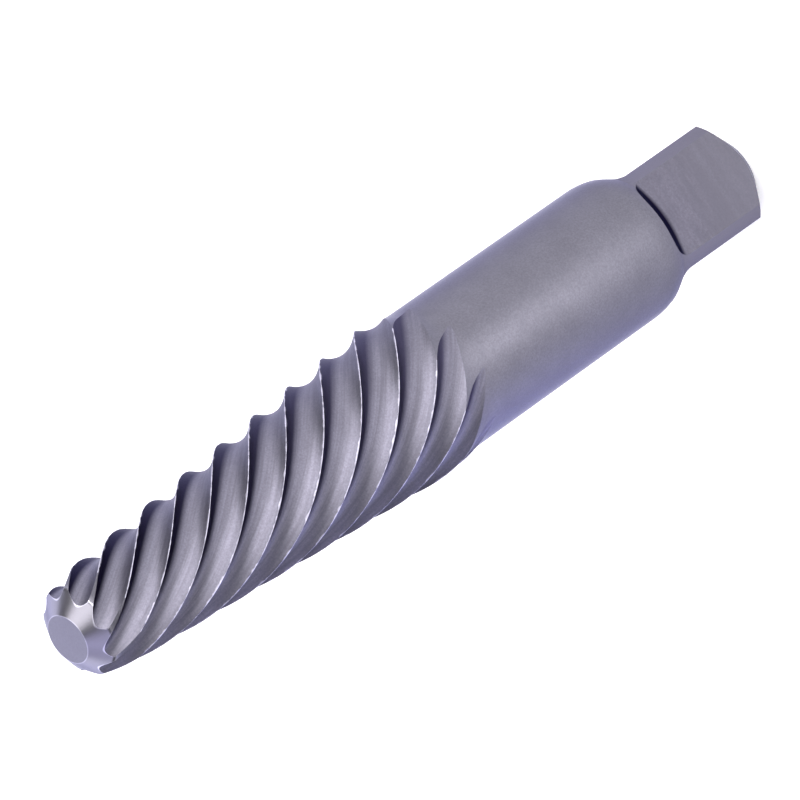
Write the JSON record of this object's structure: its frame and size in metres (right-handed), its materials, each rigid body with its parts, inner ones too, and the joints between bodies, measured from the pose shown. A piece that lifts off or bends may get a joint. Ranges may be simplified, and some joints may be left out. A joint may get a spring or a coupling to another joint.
{
  "type": "screw extractor",
  "caption": "Spiral screw extractor: a tapered tip with sharp left-hand flutes, a plain round shank and a square drive end.",
  "frame": {"origin": "centre of the end face of the square, on which the tool stands", "axes": "+Z along the tool from the square to the small tip, -Y out of one flat of the square"},
  "size_m": [0.0162, 0.0162, 0.0953],
  "materials": {
    "hardened_steel": "satin, finely grained grey steel"
  },
  "bodies": {
    "root": {"screw_extractor": "hardened_steel"}
  },
  "joints": []
}
